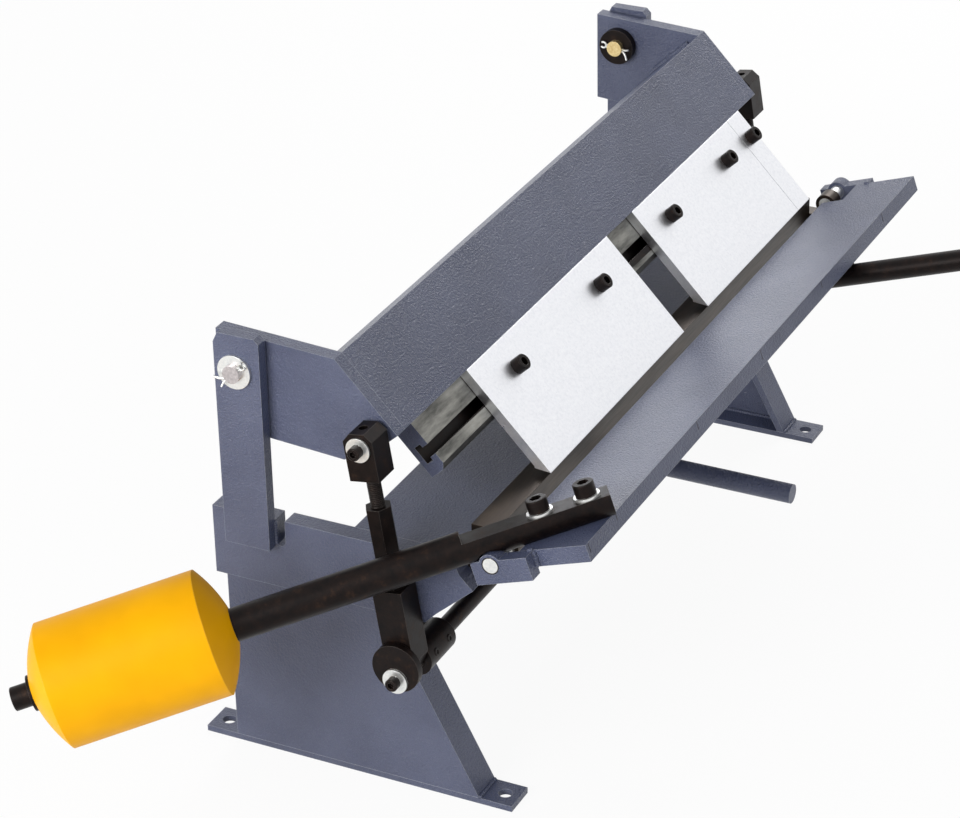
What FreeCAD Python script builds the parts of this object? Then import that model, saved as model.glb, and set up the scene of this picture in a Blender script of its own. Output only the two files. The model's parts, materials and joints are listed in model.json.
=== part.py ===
import FreeCAD, Part
import math
import os

from FreeCAD import Vector

# Bench-top sheet metal brake with loose fingers, in millimetres.
# X runs along the bend, the operator stands on the -Y side and Z is up.
# The origin is on the floor, midway between the two feet.

# Lengths along the bend
half_beam = 342.5
slot_bar_inset = 31.5
wide_finger_width = 254.0
medium_finger_width = 203.2
narrow_finger_width = 25.4
narrow_finger_inset = 39.7
finger_gap = 0.5
work_gap = 50.5

# Feet and stands
foot_inset = 13.5
foot_width = 28.0
foot_thickness = 5.0
foot_half_length = 133.0
foot_hole_dia = 11.0
foot_hole_inset = 12.0
web_thickness = 6.0
web_half_base = 105.5
web_top_z = 198.0
web_lean = 0.52
flange_thickness = 6.0

# Side plates and bed
side_thickness = 15.0
side_bottom_z = 162.0
side_top_z = 220.0
nose_top = 36.0
nose_reach = 21.0
nose_drop = 34.0
nose_corner = 4.0
nose_rise = 10.0
shoulder_reach = 18.2
shoulder_rise = 9.6
shoulder_foot = 9.0
block_thickness = 14.0
block_step = 11.0
anvil_depth = 20.8
anvil_height = 31.0
bed_top_gap = 4.8
bed_thickness = 12.0
bed_back_y = -7.7
hinge_front_gap = 5.4
rib_thickness = 10.0
rib_height = 42.0
plate_gap = 1.5

# Clamp beam pivot and posts
pivot_inset = 33.5
pivot_below_ridge = 20.6
pivot_pin_dia = 14.0
post_width = 38.0
post_thickness = 10.0
post_offset = 1.5
post_above_pivot = 29.0
post_lap = 22.0
post_corner = 4.0
notch_width = 8.0
arm_thickness = 12.0
arm_back = 21.5
arm_top = 23.5
arm_drop = 56.0
arm_slope = 3.0

# Clamp beam, an angle with its ridge on top
ridge_y = -4.1
anvil_above_bed = 16.75
beam_slope = 46.4
beam_leg = 71.7
beam_back_leg = 60.0
beam_plate = 8.5

# Slotted bar under the beam
bar_thickness = 17.0
bar_above = 26.0
bar_below = 42.0
slot_centre = 24.5
slot_neck = 9.0
slot_chamber = 15.0
slot_lip = 6.0
slot_depth = 12.0

# Fingers
finger_length = 99.6
finger_thickness = 8.0
finger_nose = 13.5
finger_screw_dia = 8.0
finger_head_dia = 13.0
finger_head_height = 9.0

# Bending leaf
tip_clear = 10.7
hinge_depth = 4.0
leaf_front_y = -202.6
leaf_front_z = 260.7
leaf_thickness = 13.4
leaf_overhang = 2.5
leaf_notch = 20.0
leaf_corner_gap = 5.0
ear_thickness = 12.0
ear_height = 18.5
ear_length = 31.0
ear_heel = 16.0
hinge_pin_dia = 12.0
boss_radius = 9.0

# Lever and counterweight
lever_dia = 25.0
lever_rise = 11.0
lever_flat_length = 112.0
lever_flat_drop = 6.0
lever_tip_inset = 52.0
lever_turn = 33.0
lever_length = 438.0
lever_relief = 1.5
lever_screw_inset = 16.0
lever_screw_pitch = 35.6
lever_head_dia = 16.0
lever_head_height = 10.0
washer_dia = 20.0
washer_thickness = 2.0
weight_dia = 95.0
weight_length = 120.0
weight_dome = 16.0
weight_cap_dia = 27.0
weight_bolt_dia = 18.0
weight_bolt_head = 14.0

# Leaf handle on the right
handle_x = 190.0
handle_dia = 18.0
handle_length = 150.0
handle_drop = 12.0
handle_root = 34.0

# Clamp shaft, eccentrics and links
shaft_stand_off = 21.2
shaft_z = 127.5
shaft_dia = 14.0
eccentric = 10.0
disc_dia = 38.5
disc_thickness = 6.0
crank_pin_dia = 12.0
crank_washer_dia = 20.0
crank_washer_thickness = 2.0
crank_screw_head = 10.0
bearing_dia = 27.0
bearing_inset = 38.5
bearing_bracket_lap = 3.0
lever_rod_dia = 16.0
lever_rod_reach = 165.0
lever_hub_half = 14.0
lever_hub_wall = 4.0
link_y = -36.0
link_below_ridge = 53.6
link_width = 24.0
link_depth = 23.0
link_gap = 2.0
link_block_height = 38.0
link_block_above = 12.0
link_foot_height = 60.0
link_pin_dia = 10.0
link_top_hole = 7.0
link_top_depth = 6.0
thread_dia = 10.0
hex_flats = 18.0
hex_length = 66.0
running_gap = 0.3
crank_gap = 1.2
pin_gap = 0.05

# Derived places
half_slot_bar = half_beam - slot_bar_inset
narrow_finger_left = half_beam - narrow_finger_inset - narrow_finger_width
medium_finger_left = narrow_finger_left - finger_gap - medium_finger_width
wide_finger_left = medium_finger_left - work_gap - wide_finger_width
foot_outer_x = half_beam - foot_inset
leaf_half = half_beam + leaf_overhang
lever_tip_x = lever_tip_inset - leaf_half
pivot_y = web_half_base - pivot_inset
post_bottom_z = side_top_z - post_lap
bearing_inner_x = half_beam - bearing_inset
shaft_y = -web_half_base + web_lean * (shaft_z - foot_thickness) - shaft_stand_off
sine = math.sin(math.radians(beam_slope))
cosine = math.cos(math.radians(beam_slope))
tip_y = ridge_y - (beam_leg + finger_length) * cosine
bed_top_z = side_top_z + anvil_above_bed
tip_z = bed_top_z + bed_top_gap
ridge_z = tip_z + (beam_leg + finger_length) * sine
pivot_z = ridge_z - pivot_below_ridge
link_z = ridge_z - link_below_ridge
post_top_z = pivot_z + post_above_pivot
hinge_y = tip_y - tip_clear
hinge_z = bed_top_z - hinge_depth
inner_edge = max(hinge_depth, leaf_thickness - hinge_depth)
anvil_front_y = hinge_y + inner_edge + hinge_front_gap
anvil_back_y = anvil_front_y + anvil_depth
side_outer = half_beam + plate_gap
side_inner = side_outer - side_thickness
block_inner = side_inner - block_thickness
post_outer = side_outer + post_thickness
arm_inner = half_beam - arm_thickness
reach = math.hypot(leaf_front_y - hinge_y, leaf_front_z - hinge_z)
lift = math.atan2(leaf_front_z - hinge_z, hinge_y - leaf_front_y)
leaf_tilt = lift - math.asin(hinge_depth / reach)
leaf_reach = math.sqrt(reach ** 2 - hinge_depth ** 2)
link_inner = side_outer + link_gap
link_outer = link_inner + link_depth
crank_y = shaft_y
crank_z = shaft_z + eccentric
link_lean = math.atan2(link_y - crank_y, link_z - crank_z)
link_length = math.hypot(link_y - crank_y, link_z - crank_z)

os.makedirs("parts", exist_ok=True)


def save(name, shape):
    """Writes one named piece."""
    shape.exportStep("parts/" + name + ".step")


def save_pair(name, shape):
    """Writes a piece of the left end and its mirror image for the right end."""
    save("left_" + name, shape)
    save("right_" + name, shape.mirror(Vector(0, 0, 0), Vector(1, 0, 0)))


def block(x0, x1, y0, y1, z0, z1):
    """A box between two corners."""
    return Part.makeBox(x1 - x0, y1 - y0, z1 - z0, Vector(x0, y0, z0))


def outline(points, x0, x1):
    """A plate of constant thickness along X from an outline in Y and Z."""
    wire = Part.makePolygon([Vector(x0, y, z) for y, z in points + points[:1]])
    return Part.Face(wire).extrude(Vector(x1 - x0, 0, 0))


def round_bar(x0, x1, y, z, dia):
    """A round bar along X."""
    return Part.makeCylinder(dia / 2, x1 - x0, Vector(x0, y, z), Vector(1, 0, 0))


def slope_point(along, above):
    """A point in Y and Z: down the beam's face from its ridge, and out of that face."""
    y = ridge_y - along * cosine - above * sine
    z = ridge_z - along * sine + above * cosine
    return y, z


def turn_to_leaf(shape):
    """Turns a piece drawn with the leaf level up to the leaf's tilt."""
    turned = shape.copy()
    turned.rotate(Vector(0, hinge_y, hinge_z), Vector(1, 0, 0), -math.degrees(leaf_tilt))
    return turned


def screw_head(dia, height, base, direction):
    """A socket head with a six-sided socket."""
    head = Part.makeCylinder(dia / 2, height, base, direction)
    head = head.makeChamfer(0.6, [head.Edges[0]])
    axis = FreeCAD.Rotation(Vector(0, 0, 1), direction)
    corners = [Vector(dia * 0.29 * math.cos(k * math.pi / 3),
                      dia * 0.29 * math.sin(k * math.pi / 3), 0) for k in range(7)]
    socket = Part.Face(Part.makePolygon(corners)).extrude(Vector(0, 0, height))
    socket.Placement = FreeCAD.Placement(base + direction * (height * 0.5), axis)
    return head.cut(socket)


def make_feet():
    """Flat bars on the floor, each with a bolt hole near both ends."""
    x1 = -foot_outer_x + foot_width
    foot = block(-foot_outer_x, x1, -foot_half_length, foot_half_length, 0, foot_thickness)
    for side in (-1, 1):
        y = side * (foot_half_length - foot_hole_inset)
        x = -foot_outer_x + foot_width / 2
        foot = foot.cut(Part.makeCylinder(foot_hole_dia / 2, foot_thickness, Vector(x, y, 0)))
    save_pair("foot", foot)


def web_front(z):
    """The stand's front edge at a height."""
    return -web_half_base + web_lean * (z - foot_thickness)


def make_stands():
    """A web with a leaning flange in front and an upright one behind."""
    x0 = -foot_outer_x
    x1 = x0 + foot_width
    low = foot_thickness
    high = web_top_z
    front = [(web_front(low), low), (web_front(high), high)]
    web = outline(front + [(web_half_base, high), (web_half_base, low)], x0, x0 + web_thickness)
    step = flange_thickness * math.sqrt(1 + web_lean ** 2)
    inner = [(web_front(high) + step, high), (web_front(low) + step, low)]
    flange = outline(front + inner, x0, x1)
    back = block(x0, x1, web_half_base - flange_thickness, web_half_base, low, high)
    save_pair("stand", web.fuse(flange).fuse(back).removeSplitter())


def make_side_plates():
    """End plates of the bed, each notched beside its post, with a nose behind the hinge."""
    x0 = -side_outer
    x1 = -side_inner
    nose_y = hinge_y + nose_reach
    nose_z = hinge_z - nose_drop
    profile = [
        (web_half_base, side_bottom_z), (web_half_base, side_top_z),
        (hinge_y + nose_top, side_top_z),
        (hinge_y + nose_top - nose_corner, side_top_z - nose_rise), (nose_y, nose_z),
        (shaft_y - shoulder_reach, side_bottom_z + shoulder_rise),
        (shaft_y - shoulder_foot, side_bottom_z)]
    plate = outline(profile, x0, x1)
    front = pivot_y - post_offset - post_width / 2
    slot = block(x0, x1, front - notch_width, front, post_bottom_z + notch_width / 2, side_top_z)
    slot = slot.fuse(round_bar(x0, x1, front - notch_width / 2,
                               post_bottom_z + notch_width / 2, notch_width))
    plate = plate.cut(slot)
    save_pair("side_plate", plate)


def make_hinge_blocks():
    """Machined blocks beside the anvil bar, each with a rounded nose for the leaf's pin."""
    low = bed_top_z - anvil_height
    profile = [
        (anvil_back_y, low), (anvil_back_y, hinge_z - block_step),
        (hinge_y + boss_radius * 0.9, hinge_z - block_step),
        (hinge_y + boss_radius * 0.9, hinge_z - 3), (hinge_y, hinge_z),
        (hinge_y - boss_radius * 0.8, hinge_z - boss_radius * 0.6), (hinge_y + 8, low)]
    nose = outline(profile, -side_inner, -block_inner)
    nose = nose.fuse(round_bar(-side_inner, -block_inner, hinge_y, hinge_z, 2 * boss_radius))
    hole = hinge_pin_dia + 2 * pin_gap
    nose = nose.removeSplitter()
    save_pair("hinge_block", nose.cut(round_bar(-side_inner, -block_inner, hinge_y, hinge_z, hole)))


def make_posts():
    """Upright bars on the outside of the side plates that carry the beam's pivot pins."""
    y0 = pivot_y - post_offset - post_width / 2
    y1 = y0 + post_width
    c = post_corner
    profile = [(y0, post_bottom_z), (y0, post_top_z - c), (y0 + c, post_top_z),
               (y1 - c, post_top_z), (y1, post_top_z - c * 2), (y1, post_bottom_z)]
    post = outline(profile, -post_outer, -side_outer)
    post = post.cut(round_bar(-post_outer, -side_outer, pivot_y, pivot_z, pivot_pin_dia))
    save_pair("post", post)


def make_bed():
    """The bed plate, a rib along its back, and the anvil bar that the fingers press on."""
    bed = block(-side_inner, side_inner, anvil_back_y, bed_back_y,
                side_top_z - bed_thickness, side_top_z)
    low = side_top_z - bed_thickness - rib_height
    half = foot_outer_x - foot_width
    rib = block(-half, half, bed_back_y - rib_thickness, bed_back_y,
                low, side_top_z - bed_thickness)
    save("bed", bed.fuse(rib).removeSplitter())
    anvil = block(-block_inner, block_inner, anvil_front_y, anvil_back_y,
                  bed_top_z - anvil_height, bed_top_z)
    save("anvil_bar", anvil)


def make_pivot_pins():
    """Pins through the arms and posts, with a washer outside and a collar inside."""
    pin = round_bar(-post_outer - 7, -arm_inner + 12, pivot_y, pivot_z, pivot_pin_dia)
    washer = round_bar(-post_outer - 2.5, -post_outer, pivot_y, pivot_z, pivot_pin_dia + 13)
    collar = round_bar(-arm_inner + running_gap, -arm_inner + 7.5, pivot_y, pivot_z,
                       pivot_pin_dia + 18)
    save_pair("pivot_pin", pin.fuse(washer).fuse(collar).removeSplitter())


def make_hinge_pins():
    """Pins pressed in the bending leaf's ears, which turn in the hinge blocks."""
    pin = round_bar(-leaf_half - ear_thickness, -block_inner, hinge_y, hinge_z, hinge_pin_dia)
    save_pair("hinge_pin", pin)


def make_beam():
    """Angle bar with its ridge up; the front leg presses on the fingers' top edges."""
    inner = beam_plate
    corner = [slope_point(0, 0), slope_point(beam_leg, 0), slope_point(beam_leg, -inner),
              slope_point(inner, -inner), slope_point(inner, -beam_back_leg),
              slope_point(0, -beam_back_leg)]
    beam = outline(corner, -arm_inner, arm_inner)
    save("clamp_beam", beam)


def make_arms():
    """Plates at the beam's ends that reach back to the pivot pins."""
    lean = math.tan(math.radians(arm_slope))
    back_y = pivot_y + arm_back
    back_top = ridge_z + (back_y - ridge_y) * lean
    back_low = back_top - arm_top - arm_drop
    front_y, front_z = slope_point(beam_leg, 0)
    low_y = ridge_y - 5
    low_z = back_low - (back_y - low_y) * lean * 1.3
    profile = [(ridge_y, ridge_z), (back_y, back_top), (back_y, back_low),
               (low_y, low_z), (front_y + 9, front_z - 8), (front_y, front_z)]
    arm = outline(profile, -half_beam, -arm_inner)
    hole = pivot_pin_dia + 2 * running_gap
    arm = arm.cut(round_bar(-half_beam, -arm_inner, pivot_y, pivot_z, hole))
    arm = arm.cut(round_bar(-half_beam, -arm_inner, link_y, link_z, link_pin_dia))
    save_pair("arm", arm)


def make_slot_bar():
    """Bar with a T slot along its face, welded under the beam's front leg."""
    top = beam_leg - bar_above
    low = beam_leg + bar_below
    face = -beam_plate
    profile = [slope_point(top, face), slope_point(low - 4, face), slope_point(low, face - 4),
               slope_point(low, face - bar_thickness), slope_point(top, face - bar_thickness)]
    bar = outline(profile, -half_slot_bar, half_slot_bar)
    middle = beam_leg + slot_centre
    for width, start, end in ((slot_neck, 0, slot_lip), (slot_chamber, slot_lip, slot_depth)):
        a = middle - width / 2
        b = middle + width / 2
        cut = [slope_point(a, face - start), slope_point(b, face - start),
               slope_point(b, face - end), slope_point(a, face - end)]
        bar = bar.cut(outline(cut, -half_slot_bar, half_slot_bar))
    save("slot_bar", bar)


def finger(x0, width, screws):
    """One finger: a flat plate with a sloping nose, drilled for its screws."""
    low = beam_leg + finger_length
    heel_y = tip_y + finger_nose
    under = (low - beam_leg) - (heel_y - tip_y) * cosine
    profile = [slope_point(beam_leg, 0), (tip_y, tip_z),
               (heel_y, tip_z + 1.2), slope_point(beam_leg + under - 2.5, -finger_thickness),
               slope_point(beam_leg, -finger_thickness)]
    plate = outline(profile, x0, x0 + width)
    normal = Vector(0, -sine, cosine)
    for place in screws:
        y, z = slope_point(beam_leg + slot_centre, -finger_thickness)
        hole = Part.makeCylinder(finger_screw_dia / 2, finger_thickness,
                                 Vector(x0 + place, y, z), normal)
        plate = plate.cut(hole)
    return plate


def finger_screws(x0, screws):
    """Socket screws that run through a finger into the slot, each with a square nut."""
    normal = Vector(0, -sine, cosine)
    pieces = []
    for place in screws:
        y, z = slope_point(beam_leg + slot_centre, 0)
        base = Vector(x0 + place, y, z)
        head = screw_head(finger_head_dia, finger_head_height, base, normal)
        depth = finger_thickness + slot_depth - 0.5
        shank = Part.makeCylinder(finger_screw_dia / 2, depth, base - normal * depth, normal)
        half = slot_chamber / 2 - 0.5
        middle = beam_leg + slot_centre
        lip = -beam_plate - slot_lip
        nut = outline([slope_point(middle - half, lip), slope_point(middle + half, lip),
                       slope_point(middle + half, lip - 5), slope_point(middle - half, lip - 5)],
                      x0 + place - half, x0 + place + half)
        pieces.append(head.fuse(shank).fuse(nut).removeSplitter())
    return pieces


def make_fingers():
    """Three fingers of different widths, and the screws that hold them."""
    rows = (("wide_finger", wide_finger_left, wide_finger_width, (51, 203)),
            ("medium_finger", medium_finger_left, medium_finger_width, (41, 162)),
            ("narrow_finger", narrow_finger_left, narrow_finger_width, (12.7,)))
    screws = []
    for name, left, width, places in rows:
        save(name, finger(left, width, places))
        screws += finger_screws(left, places)
    save("finger_screws", Part.makeCompound(screws))


def make_leaf():
    """The bending leaf: a thick plate notched at its ends round the hinge bosses."""
    top = hinge_z + hinge_depth
    leaf = block(-leaf_half, leaf_half, hinge_y - leaf_reach, hinge_y, top - leaf_thickness, top)
    inner = block_inner - leaf_corner_gap
    for side in (-1, 1):
        x0 = min(side * inner, side * leaf_half)
        leaf = leaf.cut(block(x0, x0 + leaf_half - inner, hinge_y - leaf_notch, hinge_y,
                              top - leaf_thickness, top))
    save("bending_leaf", turn_to_leaf(leaf))


def make_ears():
    """Ears welded outside the leaf's ends that carry it on the hinge pins."""
    top = hinge_z + hinge_depth
    low = top - ear_height
    x0 = -leaf_half - ear_thickness
    x1 = -leaf_half
    ear = block(x0, x1, hinge_y - ear_length, hinge_y + ear_heel, low, top)
    ear = ear.fuse(round_bar(x0, x1, hinge_y, hinge_z, 2 * boss_radius)).removeSplitter()
    ear = ear.cut(round_bar(x0, x1, hinge_y, hinge_z, hinge_pin_dia))
    save_pair("ear", turn_to_leaf(ear))


def make_lever():
    """Round lever with a flattened end bolted on the leaf, and the weight it carries."""
    top = hinge_z + hinge_depth
    tip = Vector(lever_tip_x, hinge_y - leaf_reach, top + lever_rise)
    turn = math.radians(lever_turn)
    along = Vector(-math.sin(turn), math.cos(turn), 0)
    across = Vector(math.cos(turn), math.sin(turn), 0)
    up = Vector(0, 0, 1)
    bar = Part.makeCylinder(lever_dia / 2, lever_length, tip, along)
    half = lever_dia / 2

    def slab(start, end, low, high):
        side = across * (half + 2)
        near = tip + along * start + up * low
        far = tip + along * end + up * low
        corners = [near - side, far - side, far + side, near + side]
        return Part.Face(Part.makePolygon(corners + corners[:1])).extrude(up * (high - low))

    bar = bar.cut(slab(-1, lever_flat_length, half - lever_flat_drop, half + 1))
    bar = bar.cut(slab(-1, lever_flat_length, -half - 1, -lever_rise))
    relief = 2 * (boss_radius + lever_relief)
    bar = bar.cut(round_bar(-leaf_half - ear_thickness - 1, -block_inner + 1,
                            hinge_y, hinge_z, relief))
    centre = lever_length - weight_dome - weight_length / 2
    heads = []
    for k in range(2):
        at = tip + along * (lever_screw_inset + k * lever_screw_pitch)
        seat = at + up * (half - lever_flat_drop)
        depth = half - lever_flat_drop + lever_rise
        bar = bar.cut(Part.makeCylinder(5, depth, seat - up * depth, up))
        washer = Part.makeCylinder(washer_dia / 2, washer_thickness, seat, up)
        head = screw_head(lever_head_dia, lever_head_height, seat + up * washer_thickness, up)
        shank = Part.makeCylinder(5, depth, seat - up * depth, up)
        heads.append(washer.fuse(head).fuse(shank).removeSplitter())
    save("lever", turn_to_leaf(bar))

    start = centre - weight_length / 2
    end = centre + weight_length / 2
    hub = lever_dia / 2
    rim = weight_dia / 2
    arc_in = Part.Arc(Vector(hub, 0, start - weight_dome), Vector((hub + rim) / 2, 0,
                      start - weight_dome * 0.62), Vector(rim, 0, start)).toShape()
    side = Part.LineSegment(Vector(rim, 0, start), Vector(rim, 0, end)).toShape()
    arc_out = Part.Arc(Vector(rim, 0, end), Vector((hub + rim) / 2, 0,
                       end + weight_dome * 0.62), Vector(hub, 0, end + weight_dome)).toShape()
    close = Part.LineSegment(Vector(hub, 0, end + weight_dome),
                             Vector(hub, 0, start - weight_dome)).toShape()
    weight = Part.Face(Part.Wire([arc_in, side, arc_out, close]))
    weight = weight.revolve(Vector(0, 0, 0), Vector(0, 0, 1), 360)
    weight.Placement = FreeCAD.Placement(tip, FreeCAD.Rotation(Vector(0, 0, 1), along))
    save("counterweight", turn_to_leaf(weight))

    far = tip + along * lever_length
    cap = Part.makeCylinder(weight_cap_dia / 2, washer_thickness, far, along)
    head = screw_head(weight_bolt_dia, weight_bolt_head, far + along * washer_thickness, along)
    heads.append(cap.fuse(head).removeSplitter())
    save("lever_screws", turn_to_leaf(Part.makeCompound(heads)))


def make_handle():
    """Handle under the leaf's right end, on a gusset welded to the leaf."""
    low = hinge_z + hinge_depth - leaf_thickness
    y0 = hinge_y - handle_root
    axis_z = low - handle_drop
    half = handle_dia / 2
    bar = Part.makeCylinder(half, handle_length, Vector(handle_x, y0, axis_z), Vector(0, -1, 0))
    bar = bar.makeFillet(2, [bar.Edges[0]])
    y1 = hinge_y - leaf_reach + 4
    gusset = outline([(y0 + 12, low), (y1, low), (y1, axis_z), (y0, axis_z)],
                     handle_x - 4, handle_x + 4)
    save("leaf_handle", turn_to_leaf(bar.fuse(gusset).removeSplitter()))


def make_shaft():
    """Cross shaft with a crank and disc at each end, and the clamping lever in its middle."""
    shaft = round_bar(-link_inner + 1, link_inner - 1, shaft_y, shaft_z, shaft_dia)
    hub_dia = shaft_dia + 2 * lever_hub_wall
    hub = round_bar(-lever_hub_half, lever_hub_half, shaft_y, shaft_z, hub_dia)
    rod = Part.makeCylinder(lever_rod_dia / 2, lever_rod_reach, Vector(0, shaft_y, shaft_z),
                            Vector(0, -1, 0))
    rod = rod.cut(hub)
    hub = hub.cut(shaft)
    save("clamp_shaft", shaft)
    save("clamp_lever", hub.fuse(rod).removeSplitter())
    pin = round_bar(-link_outer - 1, -link_inner + 1, crank_y, crank_z, crank_pin_dia)
    disc = round_bar(-link_outer - 1 - disc_thickness, -link_outer - 1, crank_y, crank_z, disc_dia)
    face = -link_outer - 1 - disc_thickness
    washer = round_bar(face - crank_washer_thickness, face, shaft_y, shaft_z, crank_washer_dia)
    seat = Vector(face - crank_washer_thickness, shaft_y, shaft_z)
    head = screw_head(crank_screw_head, crank_screw_head * 0.65, seat, Vector(-1, 0, 0))
    save_pair("eccentric", pin.fuse(disc).fuse(washer).fuse(head).removeSplitter())


def make_bearings():
    """Bushes that the shaft turns in, each on a bracket welded to its stand."""
    x0 = -link_inner + 2
    x1 = -bearing_inner_x
    bush = round_bar(x0, x1, shaft_y, shaft_z, bearing_dia)
    high = shaft_z + bearing_dia / 2 - bearing_bracket_lap
    low = shaft_z - bearing_dia / 2 + bearing_bracket_lap
    bracket = outline([(shaft_y, low), (web_front(low), low), (web_front(high), high),
                       (shaft_y, high)], -foot_outer_x, -foot_outer_x + foot_width)
    bush = bush.fuse(bracket).removeSplitter()
    hole = shaft_dia + 2 * running_gap
    inner = -foot_outer_x + foot_width + 1
    save_pair("shaft_bearing", bush.cut(round_bar(x0, inner, shaft_y, shaft_z, hole)))


def make_links():
    """Adjustable links: a block on the arm, a threaded rod in a long nut, a block on the crank."""
    x0 = -link_outer
    x1 = -link_inner
    middle = (x0 + x1) / 2
    half = link_width / 2
    c = 6.0
    top = link_block_above
    low = top - link_block_height
    head = outline([(-half, low), (-half, top - c), (-half + c, top), (half - c, top),
                    (half, top - c), (half, low)], x0, x1)
    head = head.cut(round_bar(x0, x1, 0, 0, link_pin_dia + 2 * running_gap))
    head = head.cut(Part.makeCylinder(link_top_hole / 2, link_top_depth,
                                      Vector(middle, 0, top - link_top_depth)))
    foot_low = -link_length - 5
    foot_top = -link_length + link_foot_height
    crank_hole = crank_pin_dia + 2 * crank_gap
    foot = outline([(-half, foot_low + c), (-half, foot_top), (half, foot_top),
                    (half, foot_low + c), (half - c, foot_low - 6), (-half + c, foot_low - 6)],
                   x0, x1)
    foot = foot.cut(round_bar(x0, x1, 0, -link_length, crank_hole))
    rod = Part.makeCylinder(thread_dia / 2, low - foot_top, Vector(middle, 0, foot_top))
    nut_low = foot_top
    corner = hex_flats / math.sqrt(3)
    corners = [Vector(middle + corner * math.sin(k * math.pi / 3),
                      corner * math.cos(k * math.pi / 3), nut_low) for k in range(7)]
    nut = Part.Face(Part.makePolygon(corners)).extrude(Vector(0, 0, hex_length))
    rod = rod.fuse(nut).removeSplitter()
    for name, shape in (("link_head", head), ("link_rod", rod), ("link_foot", foot)):
        placed = shape.copy()
        placed.rotate(Vector(0, 0, 0), Vector(1, 0, 0), -math.degrees(link_lean))
        placed.translate(Vector(0, link_y, link_z))
        save_pair(name, placed)
    pin = round_bar(x0 - 2, -arm_inner, link_y, link_z, link_pin_dia)
    washer = round_bar(x0 - 2, x0 - running_gap, link_y, link_z, link_pin_dia + 9)
    head = screw_head(10, 7, Vector(x0 - 2, link_y, link_z), Vector(-1, 0, 0))
    save_pair("link_pin", pin.fuse(washer).fuse(head).removeSplitter())


make_feet()
make_stands()
make_side_plates()
make_hinge_blocks()
make_posts()
make_bed()
make_pivot_pins()
make_hinge_pins()
make_beam()
make_arms()
make_slot_bar()
make_fingers()
make_leaf()
make_ears()
make_lever()
make_handle()
make_shaft()
make_bearings()
make_links()
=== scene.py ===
import json
import math

import bmesh
import bpy
from mathutils import Matrix, Vector


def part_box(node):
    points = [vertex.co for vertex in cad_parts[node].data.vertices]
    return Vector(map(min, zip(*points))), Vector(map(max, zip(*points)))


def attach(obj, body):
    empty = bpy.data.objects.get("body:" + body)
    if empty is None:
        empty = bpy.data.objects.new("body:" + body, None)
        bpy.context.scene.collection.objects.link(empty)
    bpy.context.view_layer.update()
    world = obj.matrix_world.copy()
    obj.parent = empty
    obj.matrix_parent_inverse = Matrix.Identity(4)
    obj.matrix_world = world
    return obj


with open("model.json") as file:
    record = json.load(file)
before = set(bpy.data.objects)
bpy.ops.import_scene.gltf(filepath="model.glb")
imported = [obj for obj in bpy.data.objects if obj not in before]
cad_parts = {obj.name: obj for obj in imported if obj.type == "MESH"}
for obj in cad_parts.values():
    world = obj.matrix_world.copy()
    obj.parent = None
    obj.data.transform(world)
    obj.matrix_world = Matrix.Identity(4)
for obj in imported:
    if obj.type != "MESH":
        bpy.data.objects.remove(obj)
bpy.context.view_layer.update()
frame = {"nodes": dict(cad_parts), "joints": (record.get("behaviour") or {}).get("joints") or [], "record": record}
nodes = frame["nodes"]
joints = {joint["name"]: joint for joint in frame["joints"]}

# The looks of a bench-top sheet metal brake, and the small parts that its CAD leaves out.
# X runs along the bend, the operator stands on the -Y side and Z is up.

MM = 0.001
SIDES = (("left", -1), ("right", 1))

# A little play for tests of where a face lies
PLAY = 0.1 * MM

# Axes, from the frame
hinge = Vector(joints["leaf_hinge"]["pos_m"])
shaft_axis = Vector(joints["shaft_turn"]["pos_m"])
pivot = Vector(joints["clamp_pivot"]["pos_m"])
link_axis = Vector(joints["link_swing"]["pos_m"])

# The leaf rises from level by its lower limit
leaf_tilt = math.radians(-joints["leaf_hinge"]["range_deg"][0])
out_of_hinge = Vector((0, -math.cos(leaf_tilt), math.sin(leaf_tilt)))
above_leaf = Vector((0, math.sin(leaf_tilt), math.cos(leaf_tilt)))

# The beam's face and the slotted bar slope down from the ridge towards the finger tips
beam_slope = math.radians(46.4)
ridge = Vector((0, -4.1 * MM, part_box("clamp_beam")[1].z))
down_face = Vector((0, -math.cos(beam_slope), -math.sin(beam_slope)))
out_of_face = Vector((0, -math.sin(beam_slope), math.cos(beam_slope)))


# Materials

def linear(hex_colour):
    """A colour written as six sRGB hex digits, as linear RGBA."""
    parts = [int(hex_colour[k:k + 2], 16) / 255 for k in (0, 2, 4)]
    parts = [p / 12.92 if p <= 0.04045 else ((p + 0.055) / 1.055) ** 2.4 for p in parts]
    return (*parts, 1.0)


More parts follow.
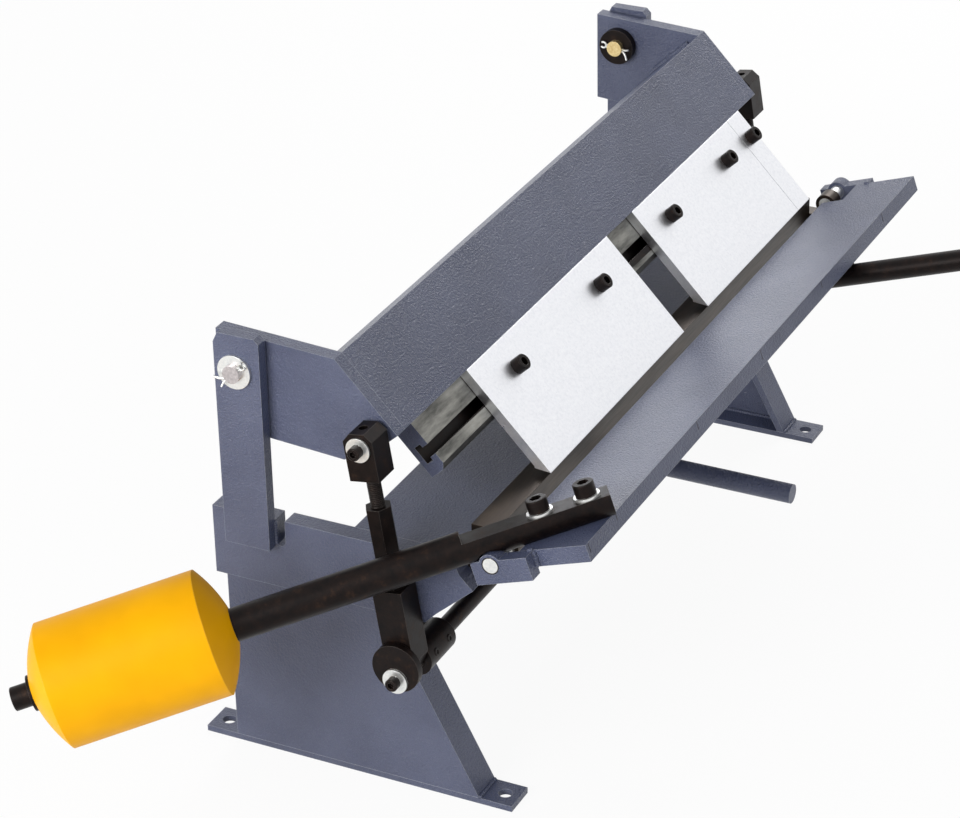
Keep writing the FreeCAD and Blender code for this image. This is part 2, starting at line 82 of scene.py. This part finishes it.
class Material:
    """A material whose nodes are added one line at a time."""

    def __init__(self, name, **sockets):
        self.data = bpy.data.materials.new(name)
        self.data.use_nodes = True
        self.tree = self.data.node_tree
        self.shader = self.tree.nodes["Principled BSDF"]
        self.set(self.shader, **sockets)

    def set(self, node, **sockets):
        for key, value in sockets.items():
            socket = node.inputs[key.replace("_", " ")]
            if isinstance(value, bpy.types.NodeSocket):
                self.tree.links.new(value, socket)
            else:
                socket.default_value = value

    def add(self, kind, settings=None, **sockets):
        node = self.tree.nodes.new("ShaderNode" + kind)
        for key, value in (settings or {}).items():
            setattr(node, key, value)
        self.set(node, **sockets)
        return node

    def noise(self, size_mm, stretch=(1, 1, 1), detail=3.0, rough=0.55):
        """Noise whose grains are size_mm across, longer where stretch is below 1."""
        place = self.add("TexCoord").outputs["Object"]
        place = self.add("Mapping", Vector=place, Scale=stretch).outputs["Vector"]
        made = self.add("TexNoise", Vector=place, Scale=1 / (size_mm * MM), Detail=detail,
                        Roughness=rough)
        return made.outputs["Fac"]

    def ramp(self, value, *stops):
        """Stops are (position, hex colour or grey level)."""
        node = self.add("ValToRGB", Fac=value)
        elements = node.color_ramp.elements
        for k, (position, level) in enumerate(stops):
            element = elements[k] if k < 2 else elements.new(position)
            element.position = position
            is_hex = isinstance(level, str)
            element.color = linear(level) if is_hex else (level, level, level, 1)
        return node.outputs["Color"]

    def mix(self, share, first, second):
        node = self.add("MixRGB", Fac=share)
        self.set(node, Color1=first, Color2=second)
        return node.outputs["Color"]

    def edges(self, radius_mm):
        """1 on sharp edges and 0 on flat faces."""
        rounded = self.add("Bevel", {"samples": 6}, Radius=radius_mm * MM).outputs["Normal"]
        flat = self.add("NewGeometry").outputs["Normal"]
        dot = self.add("VectorMath", {"operation": "DOT_PRODUCT"})
        self.tree.links.new(rounded, dot.inputs[0])
        self.tree.links.new(flat, dot.inputs[1])
        return self.ramp(dot.outputs["Value"], (0.80, 1.0), (0.985, 0.0))

    def relief(self, height, depth_mm, strength=1.0, round_mm=0.7):
        """Bumps of a real depth over edges that are rounded to a real radius."""
        rounded = self.add("Bevel", {"samples": 6}, Radius=round_mm * MM).outputs["Normal"]
        bump = self.add("Bump", Height=height, Strength=strength, Distance=depth_mm * MM,
                        Normal=rounded)
        self.set(self.shader, Normal=bump.outputs["Normal"])


def textured_enamel():
    """Blue-grey enamel, sprayed and baked to a fine pebbled skin, with a painted highlight along its edges."""
    made = Material("blue_grey_enamel", Roughness=0.31, Metallic=0.0)
    made.shader.inputs["Specular IOR Level"].default_value = 0.55
    cloud = made.ramp(made.noise(60, detail=2), (0.35, "464D68"), (0.65, "515873"))
    # Edges are lightened towards A4A8B4 as a painted highlight, where edges catch the light.
    edge_highlight = made.mix(made.edges(0.8), cloud, linear("A4A8B4"))
    made.set(made.shader, Base_Color=edge_highlight)
    made.relief(made.noise(1.7, detail=3, rough=0.6), 1.5)
    return made.data


def ground_steel():
    """Surface-ground steel plate with fine scratches down its slope and faint bruises."""
    made = Material("ground_steel", Metallic=1.0)
    scratches = made.noise(0.5, stretch=(1, 0.05, 0.05), detail=4)
    bruises = made.noise(2.6, detail=6, rough=0.75)
    colour = made.ramp(bruises, (0.25, "DEE0E5"), (0.52, "ECEDF1"), (0.78, "F4F5F7"))
    rough = made.ramp(scratches, (0.2, 0.24), (0.8, 0.42))
    made.set(made.shader, Base_Color=colour, Roughness=rough)
    made.relief(scratches, 0.06, 0.5, 0.35)
    return made.data


def milled_steel(name, dark, light, along):
    """Milled steel with cutter marks along one way, and long streaks of painted highlight and reflection in its
    colour.
    """
    made = Material(name, Metallic=0.85)
    marks = made.noise(0.8, stretch=along, detail=3)
    light_streaks = made.noise(12, stretch=(0.2, 1, 1), detail=5, rough=0.65)
    # Long streaks between the dark and light colours: painted highlights and reflections.
    colour = made.ramp(light_streaks, (0.32, dark), (0.68, light))
    rough = made.ramp(marks, (0.2, 0.30), (0.8, 0.48))
    made.set(made.shader, Base_Color=colour, Roughness=rough)
    made.relief(marks, 0.06, 0.5, 0.5)
    return made.data


def black_oxide():
    """Blackened steel: satin, a little brown where the oxide is thin."""
    made = Material("black_oxide_steel", Metallic=0.4)
    made.shader.inputs["Specular IOR Level"].default_value = 0.18
    patches = made.noise(9, detail=5, rough=0.65)
    colour = made.ramp(patches, (0.30, "0D0B0C"), (0.58, "1B1311"), (0.82, "38271C"))
    # Edges are lightened towards 5C5753 as a painted highlight.
    edge_highlight = made.mix(made.edges(0.5), colour, linear("5C5753"))
    rough = made.ramp(patches, (0.3, 0.34), (0.8, 0.52))
    made.set(made.shader, Base_Color=edge_highlight, Roughness=rough)
    made.relief(made.noise(1.8, detail=4), 0.12, 0.5, 0.5)
    return made.data


def metal_plate(name, dark, light):
    """Bright plated or turned metal with a soft crystalline bloom."""
    made = Material(name, Metallic=0.9)
    bloom = made.noise(2.2, detail=4, rough=0.6)
    colour = made.ramp(bloom, (0.3, dark), (0.7, light))
    rough = made.ramp(bloom, (0.3, 0.30), (0.7, 0.38))
    made.set(made.shader, Base_Color=colour, Roughness=rough)
    made.relief(bloom, 0.02, 0.3, 0.3)
    return made.data


def yellow_enamel():
    """Satin yellow enamel with a slight orange peel."""
    made = Material("yellow_enamel", Roughness=0.45)
    made.shader.inputs["Specular IOR Level"].default_value = 0.12
    depth = made.ramp(made.noise(45, detail=2), (0.3, "EFAA00"), (0.7, "FAB400"))
    # Edges are lightened towards FFD05A as a painted highlight.
    edge_highlight = made.mix(made.edges(0.8), depth, linear("FFD05A"))
    made.set(made.shader, Base_Color=edge_highlight)
    made.relief(made.noise(3.2, detail=2), 0.10, 0.35, 1.0)
    return made.data


enamel = textured_enamel()
bright = ground_steel()
# The anvil steel's dark brown is a painted reflection of dark surroundings, and the slot steel's pale streaks are
# a painted highlight band.
milled = milled_steel("milled_anvil_steel", "1F1A17", "3D332B", (0.03, 1, 1))
slotted = milled_steel("milled_slot_steel", "3E3E3C", "A09F99", (0.02, 1, 1))
black = black_oxide()
zinc = metal_plate("zinc_plate", "D6D8D8", "EBEBE8")
pin_steel = metal_plate("turned_pin_steel", "A9A4A5", "CFC9CA")
yellow_zinc = metal_plate("yellow_zinc_plate", "CBAE74", "E6D3A0")
yellow = yellow_enamel()

by_slot = {"enamel": enamel, "bright_steel": bright, "machined": milled,
           "black_oxide": black, "zinc": zinc, "yellow_enamel": yellow}
for part in frame["record"]["subparts"]:
    mesh = nodes[part["node"]].data
    mesh.materials.clear()
    mesh.materials.append(by_slot[part["material_slot"]])
nodes["slot_bar"].data.materials[0] = slotted


# Second finishes on CAD nodes

def repaint(node, material, chosen):
    """Gives the faces of a CAD node that chosen() picks by their middle another material."""
    mesh = nodes[node].data
    mesh.materials.append(material)
    for face in mesh.polygons:
        if chosen(face.center):
            face.material_index = len(mesh.materials) - 1


def reach_along_x(node):
    """A node's smallest and largest distance from the middle of the brake."""
    return sorted(abs(corner.x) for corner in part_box(node))


def off_axis(middle, axis):
    """A point's distance from an axis along X."""
    return math.hypot(middle.y - axis.y, middle.z - axis.z)


# The T slot's inside is given black oxide as painted shade, and the slotted bar's ends are painted with the beam.
slot_start = 88.5 * MM
slot_end = 104 * MM
slot_floor = 21 * MM
bar_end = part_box("slot_bar")[1].x - PLAY
repaint("slot_bar", black,
        lambda middle: slot_start < (middle - ridge).dot(down_face) < slot_end
        and (middle - ridge).dot(out_of_face) > -slot_floor)
repaint("slot_bar", enamel, lambda middle: abs(middle.x) > bar_end)

# The pivot pins' inner collars are blackened, and the link pins' washers are zinc plated.
pin_radius = 7 * MM
collar_width = 7 * MM
washer_thickness = 2 * MM
arm_face = reach_along_x("left_arm")[0]
collar_end = arm_face - collar_width - 1 * MM
for side, sign in SIDES:
    repaint(side + "_pivot_pin", black,
            lambda middle: collar_end < abs(middle.x) < arm_face - PLAY
            and off_axis(middle, pivot) > pin_radius + 2 * PLAY)
    head_face = reach_along_x(side + "_link_head")[1]
    repaint(side + "_link_pin", zinc,
            lambda middle, face=head_face:
            face < abs(middle.x) < face + washer_thickness + PLAY)

# The pivot pins' outer ends are bare steel, and the right one's inner end is yellow zinc.
pin_head = 4.4 * MM
pin_tail = 3 * MM
for side, sign in SIDES:
    pin_end = reach_along_x(side + "_pivot_pin")[1]
    repaint(side + "_pivot_pin", pin_steel,
            lambda middle, low=pin_end - pin_head: abs(middle.x) > low)
tail_end = reach_along_x("right_pivot_pin")[0]
repaint("right_pivot_pin", yellow_zinc, lambda middle: middle.x < tail_end + pin_tail)

# The lever's two screws near the leaf stand on zinc washers, on a flat of the lever.
leaf_top = 4 * MM
lever_rise = 11 * MM
lever_half_flat = 6.5 * MM
lever_flat = leaf_top + lever_rise + lever_half_flat


def is_lever_washer(middle):
    from_hinge = middle - hinge
    height = from_hinge.dot(above_leaf)
    return (from_hinge.dot(out_of_hinge) > 0
            and lever_flat - 2 * PLAY < height < lever_flat + washer_thickness + PLAY)


repaint("lever_screws", zinc, is_lever_washer)


# Mesh helpers

def piece(name, made, material, body):
    """Turns a bmesh into an object that rides on a body."""
    bmesh.ops.recalc_face_normals(made, faces=made.faces)
    mesh = bpy.data.meshes.new(name)
    made.to_mesh(mesh)
    made.free()
    for face in mesh.polygons:
        face.use_smooth = True
    mesh.set_sharp_from_angle(angle=math.radians(35))
    mesh.materials.append(material)
    made_object = bpy.data.objects.new(name, mesh)
    bpy.context.scene.collection.objects.link(made_object)
    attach(made_object, body)


def ring(made, centre, side, across, radii):
    """A closed row of points round a centre, one for each radius."""
    points = []
    for k, radius in enumerate(radii):
        angle = 2 * math.pi * k / len(radii)
        direction = side * math.cos(angle) + across * math.sin(angle)
        points.append(made.verts.new(centre + direction * radius))
    return points


def skin(made, rings, closed=False):
    """Faces between neighbouring rings, which end in caps or close on themselves."""
    following = rings[1:] + rings[:1] if closed else rings[1:]
    for first, second in zip(rings, following):
        for k in range(len(first)):
            made.faces.new((first[k], first[k - 1], second[k - 1], second[k]))
    if not closed:
        made.faces.new(rings[0])
        made.faces.new(list(reversed(rings[-1])))


def tube(made, points, radii, guide):
    """A round run along points with its own radius at each; guide turns its section."""
    sides = 10
    rings = []
    for k, point in enumerate(points):
        before = points[max(k - 1, 0)]
        after = points[min(k + 1, len(points) - 1)]
        along = (after - before).normalized()
        side = along.cross(Vector(guide)).normalized()
        rings.append(ring(made, point, side, along.cross(side), [radii[k]] * sides))
    skin(made, rings)


def bead(made, points, radius):
    """A weld bead: a round run with overlapping ripples, half sunk into the corner."""
    step = 0.55 * MM
    path = []
    for first, second in zip(points, points[1:]):
        count = max(int((second - first).length / step), 2)
        path += [first.lerp(second, k / count) for k in range(count)]
    path.append(points[-1])
    radii = []
    for k in range(len(path)):
        swell = 0.82 + 0.18 * abs(math.sin(math.pi * k / 4)) + 0.05 * math.sin(k * 0.7)
        taper = 0.55 if k in (0, len(path) - 1) else 1
        radii.append(radius * swell * taper)
    tube(made, path, radii, (0.3, 0.2, 1))


def socket_head(made, seat, axis, radius, height, hex_radius):
    """A cap screw's head: knurled side, chamfered rim and a six-sided socket."""
    side = axis.orthogonal().normalized()
    across = axis.cross(side)
    sides = 72
    rim = 0.07 * radius
    knurl = 0.018 * radius
    socket_floor = 0.45 * height
    plain = [radius] * sides
    knurled = [radius - (knurl if k % 2 else 0) for k in range(sides)]
    chamfered = [radius - 2 * rim] * sides
    six_sided = []
    for k in range(sides):
        from_flat = (2 * math.pi * k / sides + math.pi / 6) % (math.pi / 3) - math.pi / 6
        six_sided.append(hex_radius * math.cos(math.pi / 6) / math.cos(from_flat))
    levels = ((0, plain), (rim, knurled), (height - 2 * rim, knurled), (height, chamfered),
              (height, six_sided), (socket_floor, six_sided))
    skin(made, [ring(made, seat + axis * along, side, across, radii)
                for along, radii in levels])


# Split pins
# Soft steel wire through a cross hole at each end of both pivot pins, with its legs bent away.

def split_pin(name, x, outward, eye_way):
    made = bmesh.new()
    wire_radius = 0.9 * MM
    eye_radius = 2.6 * MM
    eye_reach = 8.6 * MM
    leg_root = 8 * MM
    leg_reach = 7.4 * MM
    guide = (1, 0.013, 0.027)
    base = Vector((x, pivot.y, pivot.z))
    along = Vector((0, *eye_way)).normalized()
    side = Vector((0, -along.z, along.y))
    eye = []
    for k in range(-6, 7):
        angle = math.pi * k / 8
        eye.append(base + side * (eye_radius * math.sin(angle))
                   + along * (eye_reach + eye_radius * (1 - math.cos(angle))))
    tube(made, eye, [wire_radius] * len(eye), guide)
    for lean, spread in ((-1, 6), (1, 2)):
        beside = base + side * (lean * MM)
        leg = [beside + along * leg_root, beside - along * leg_reach]
        for k in range(1, 7):
            bend = k / 6
            leg.append(base + Vector((outward * 2 * MM * bend, 0, 0))
                       + side * (lean * (1 + spread * bend * bend) * MM)
                       - along * (leg_reach + 6 * MM * bend))
        tube(made, leg, [wire_radius] * len(leg), guide)
    piece(name, made, zinc, "frame")


hole_inset = 2.2 * MM
for side, sign in SIDES:
    inner_end, outer_end = reach_along_x(side + "_pivot_pin")
    split_pin(side + "_outer_split_pin", sign * (outer_end - hole_inset), sign, (-0.75, 0.66))
    split_pin(side + "_inner_split_pin", sign * (inner_end + hole_inset), -sign, (1.0, 0.15))


# Screw threads
# The rods between the link heads and their long nuts carry a rolled thread.

def thread(name, low, high, radius, pitch):
    made = bmesh.new()
    axis = (high - low).normalized()
    side = axis.orthogonal().normalized()
    across = axis.cross(side)
    steps = 24
    count = int((high - low).length / pitch * steps)
    root_depth = 0.25 * MM
    crest_height = 0.6 * MM
    section = ((-0.48, 0), (-0.1152, 1), (0.1152, 1), (0.48, 0))
    rows = []
    for k in range(count + 1):
        angle = 2 * math.pi * k / steps
        direction = side * math.cos(angle) + across * math.sin(angle)
        centre = low + axis * (pitch * k / steps)
        fade = min(1.0, k / 6, (count - k) / 6)
        rows.append([made.verts.new(centre + axis * (along * pitch) + direction
                                    * (radius - root_depth + crest_height * rise * fade))
                     for along, rise in section])
    skin(made, rows)
    piece(name, made, black, "links")


eccentric = 10 * MM
link_foot_height = 60 * MM
long_nut_length = 66 * MM
link_head_below = 26 * MM
thread_radius = 5 * MM
thread_pitch = 1.5 * MM
crank = shaft_axis + Vector((0, 0, eccentric))
link_up = (link_axis - crank).normalized()
for side, sign in SIDES:
    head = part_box(side + "_link_head")
    middle_x = (head[0].x + head[1].x) / 2
    link_foot = Vector((middle_x, crank.y, crank.z))
    link_pin = Vector((middle_x, link_axis.y, link_axis.z))
    thread(side + "_link_thread",
           link_foot + link_up * (link_foot_height + long_nut_length + 2 * PLAY),
           link_pin - link_up * (link_head_below + 4 * PLAY),
           thread_radius, thread_pitch)

# The washer on the shaft's end is plated, and its screw is black.
crank_washer_radius = 10 * MM
crank_screw_height = 6.5 * MM
for side, sign in SIDES:
    washer_face = reach_along_x(side + "_eccentric")[1] - crank_screw_height + PLAY
    repaint(side + "_eccentric", zinc,
            lambda middle, face=washer_face:
            face - washer_thickness - 2 * PLAY < abs(middle.x) < face
            and off_axis(middle, shaft_axis) < crank_washer_radius + PLAY)


# Set screws
# Two set screws in each shaft bearing, their sockets just below the surface.
screw_radius = 3.2 * MM
screw_height = 1.9 * MM
screw_hex_radius = 1.8 * MM
screw_depth = 1.4 * MM
screw_insets = (12 * MM, 10 * MM)
screw_angle = math.radians(18)
facing = Vector((0, -math.cos(screw_angle), math.sin(screw_angle)))
for side, sign in SIDES:
    bearing_low, bearing_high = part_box(side + "_shaft_bearing")
    bearing_radius = (bearing_high.z - bearing_low.z) / 2
    inner_end, outer_end = reach_along_x(side + "_shaft_bearing")
    made = bmesh.new()
    for x in (outer_end - screw_insets[1], inner_end + screw_insets[0]):
        centre = Vector((sign * x, shaft_axis.y, shaft_axis.z))
        socket_head(made, centre + facing * (bearing_radius - screw_depth), facing,
                    screw_radius, screw_height, screw_hex_radius)
    piece(side + "_set_screws", made, black, "frame")


# Weld beads, painted over
# They join the ears to the leaf, the posts to the side plates and the stands to the feet.
leaf_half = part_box("bending_leaf")[1].x
ear_weld_start = 27 * MM
ear_weld_end = 31.5 * MM
ear_corner = 31.2 * MM
leaf_low = -8.6 * MM
post_weld_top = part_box("left_side_plate")[1].z - 1 * MM


def by_hinge(x, out, height):
    """A point of the leaf: its X, and its place out of and above the hinge axis."""
    place = hinge + out_of_hinge * out + above_leaf * height
    return Vector((x, place.y, place.z))


for side, sign in SIDES:
    seam = sign * leaf_half
    made = bmesh.new()
    for height in (3.4 * MM, leaf_low):
        bead(made, [by_hinge(seam, ear_weld_start, height),
                    by_hinge(seam, ear_weld_end, height)], 2.2 * MM)
    corner_x = seam + sign * 0.4 * MM
    bead(made, [by_hinge(corner_x, ear_corner, leaf_low),
                by_hinge(corner_x, ear_corner, 3.2 * MM)], 2.6 * MM)
    piece(side + "_ear_weld", made, enamel, "leaf")

    post_low, post_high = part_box(side + "_post")
    plate_face = post_high.x if sign < 0 else post_low.x
    made = bmesh.new()
    for y in (post_low.y, post_high.y):
        bead(made, [Vector((plate_face, y, post_low.z + 1 * MM)),
                    Vector((plate_face, y, post_weld_top))], 1.9 * MM)
    piece(side + "_post_weld", made, enamel, "frame")

    foot_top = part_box(side + "_foot")[1].z + 0.3 * MM
    stand_low, stand_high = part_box(side + "_stand")
    outer_x, inner_x = stand_low.x, stand_high.x
    if sign > 0:
        outer_x, inner_x = inner_x, outer_x
    web_x = outer_x - sign * 7 * MM
    front_y = stand_low.y - 0.3 * MM
    made = bmesh.new()
    bead(made, [Vector((web_x, stand_low.y + 9 * MM, foot_top)),
                Vector((web_x, stand_high.y - 8 * MM, foot_top))], 2 * MM)
    bead(made, [Vector((inner_x, front_y, foot_top)),
                Vector((outer_x, front_y, foot_top))], 1.6 * MM)
    piece(side + "_stand_weld", made, enamel, "frame")


# Beam welds
# A ragged run of weld joins the beam's back leg to the inner face of each arm.
run_start = 12 * MM
run_step = 6 * MM
run_x = arm_face - 0.3 * MM
for side, sign in SIDES:
    made = bmesh.new()
    run = []
    for k in range(9):
        sway = (0.7 * math.sin(k * 2.1) + 0.4 * math.sin(k * 5.3)) * MM
        run.append(ridge - out_of_face * (run_start + run_step * k)
                   - down_face * (0.6 * MM + sway * 0.5)
                   + Vector((sign * (run_x + sway * 0.3), 0, 0)))
    bead(made, run, 2.6 * MM)
    piece(side + "_beam_weld", made, enamel, "clamp")


# Hinge rings
# A thin black ring round each hinge pin's end, where it stands in its ear: painted shade of the gap there.
hinge_pin_radius = 6 * MM
ring_rise = 0.12 * MM
for side, sign in SIDES:
    ear_face = reach_along_x(side + "_ear")[1] + 0.04 * MM
    made = bmesh.new()
    circles = []
    for outward, rise in ((0, 0), (0.1 * MM, ring_rise), (0.8 * MM, ring_rise), (0.9 * MM, 0)):
        centre = Vector((sign * (ear_face + rise), hinge.y, hinge.z))
        circles.append(ring(made, centre, Vector((0, 1, 0)), Vector((0, 0, 1)),
                            [hinge_pin_radius + outward] * 48))
    skin(made, circles, closed=True)
    piece(side + "_hinge_shade_ring", made, black, "leaf")


# Edge marks
# Short dark cuts across the leaf's front edge, each a thin wedge that widens downwards.
leaf_edge = Vector((0, -202.6 * MM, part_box("bending_leaf")[1].z))
mark_top = 0.3 * MM
mark_sunk = 0.3 * MM
mark_proud = 0.06 * MM
mark_half_top = 0.28 * MM
mark_half_low = 0.42 * MM
box_faces = ((0, 1, 3, 2), (4, 6, 7, 5), (0, 4, 5, 1), (2, 3, 7, 6), (0, 2, 6, 4), (1, 5, 7, 3))
made = bmesh.new()
for x, length in ((-341, 8), (-294, 6.5), (-144, 7.5), (-15, 9), (118, 6), (262, 8.5)):
    corners = []
    for way in (-1, 1):
        for out in (-mark_sunk, mark_proud):
            for half, depth in ((mark_half_top, mark_top), (mark_half_low, length * MM)):
                corners.append(made.verts.new(
                    leaf_edge + Vector((x * MM + way * half, 0, 0))
                    + out_of_hinge * out - above_leaf * depth))
    for face in box_faces:
        made.faces.new([corners[k] for k in face])
piece("leaf_edge_marks", made, black, "leaf")


# Floor and world: white to the camera and in reflections, plain light on the object

def seen_directly(tree):
    """1 for rays from the camera and in reflections, and 0 for the others."""
    path = tree.nodes.new("ShaderNodeLightPath")
    either = tree.nodes.new("ShaderNodeMath")
    either.operation = "MAXIMUM"
    tree.links.new(path.outputs["Is Camera Ray"], either.inputs[0])
    tree.links.new(path.outputs["Is Glossy Ray"], either.inputs[1])
    return either.outputs[0]


made = bmesh.new()
bmesh.ops.create_grid(made, x_segments=1, y_segments=1, size=30)
mesh = bpy.data.meshes.new("floor")
made.to_mesh(mesh)
made.free()
floor = bpy.data.objects.new("floor", mesh)
bpy.context.scene.collection.objects.link(floor)
ground = Material("pale_floor", Base_Color=linear("F4F4F4"), Roughness=0.9)
glow_share = ground.add("Math", {"operation": "MULTIPLY"})
ground.tree.links.new(seen_directly(ground.tree), glow_share.inputs[0])
glow_share.inputs[1].default_value = 0.93
glow = ground.add("Emission", Color=(1, 1, 1, 1), Strength=1.0)
blend = ground.add("MixShader")
ground.tree.links.new(glow_share.outputs[0], blend.inputs[0])
ground.tree.links.new(ground.shader.outputs[0], blend.inputs[1])
ground.tree.links.new(glow.outputs[0], blend.inputs[2])
output = ground.tree.nodes["Material Output"]
ground.tree.links.new(blend.outputs[0], output.inputs["Surface"])
mesh.materials.append(ground.data)

world = bpy.data.worlds.new("studio")
bpy.context.scene.world = world
world.use_nodes = True
tree = world.node_tree
background = tree.nodes["Background"]
level = tree.nodes.new("ShaderNodeMapRange")
level.inputs["To Min"].default_value = 0.35
level.inputs["To Max"].default_value = 1.0
tree.links.new(seen_directly(tree), level.inputs["Value"])
tree.links.new(level.outputs["Result"], background.inputs["Strength"])
background.inputs["Color"].default_value = (1, 1, 1, 1)


# Lamps, with places and sizes in metres and power in watts

def area(name, place, aim, size, power, colour):
    data = bpy.data.lights.new(name, "AREA")
    data.shape = "RECTANGLE"
    data.size, data.size_y = size
    data.energy = power
    data.color = linear(colour)[:3]
    lamp = bpy.data.objects.new(name, data)
    lamp.location = place
    lamp.rotation_mode = "QUATERNION"
    lamp.rotation_quaternion = (Vector(aim) - Vector(place)).to_track_quat("-Z", "Y")
    bpy.context.scene.collection.objects.link(lamp)


area("key", (-2.6, 0.7, 1.1), (0, 0, 0.2), (1.4, 1.4), 56, "FFFDFA")
area("fill", (-0.6, -2.6, 1.6), (0, 0, 0.2), (1.6, 1.2), 8, "F6F8FF")
area("sheen", (2.46, 0.25, 1.95), (0, -0.15, 0.25), (1.4, 1.4), 40, "FFFFFF")


# Camera, fitted to the photograph: place in metres, azimuth, elevation and roll in degrees
camera_place = Vector((-2.1379, -1.0254, 1.4370))
azimuth = math.radians(-63.247)
elevation = math.radians(28.382)
roll = math.radians(-1.2597)
toward = Vector((math.sin(azimuth) * math.cos(elevation),
                 -math.cos(azimuth) * math.cos(elevation), math.sin(elevation)))
level_right = Vector((math.cos(azimuth), math.sin(azimuth), 0))
level_up = toward.cross(level_right)
camera_right = level_right * math.cos(roll) + level_up * math.sin(roll)
camera_up = level_up * math.cos(roll) - level_right * math.sin(roll)
data = bpy.data.cameras.new("camera")
data.sensor_width = 36
data.lens = 121.81
data.clip_start = 0.05
data.clip_end = 100
camera = bpy.data.objects.new("camera", data)
turn = Matrix((camera_right, camera_up, toward)).transposed().to_4x4()
camera.matrix_world = Matrix.Translation(camera_place) @ turn
bpy.context.scene.collection.objects.link(camera)
bpy.context.scene.camera = camera
bpy.context.scene.view_settings.view_transform = "Standard"
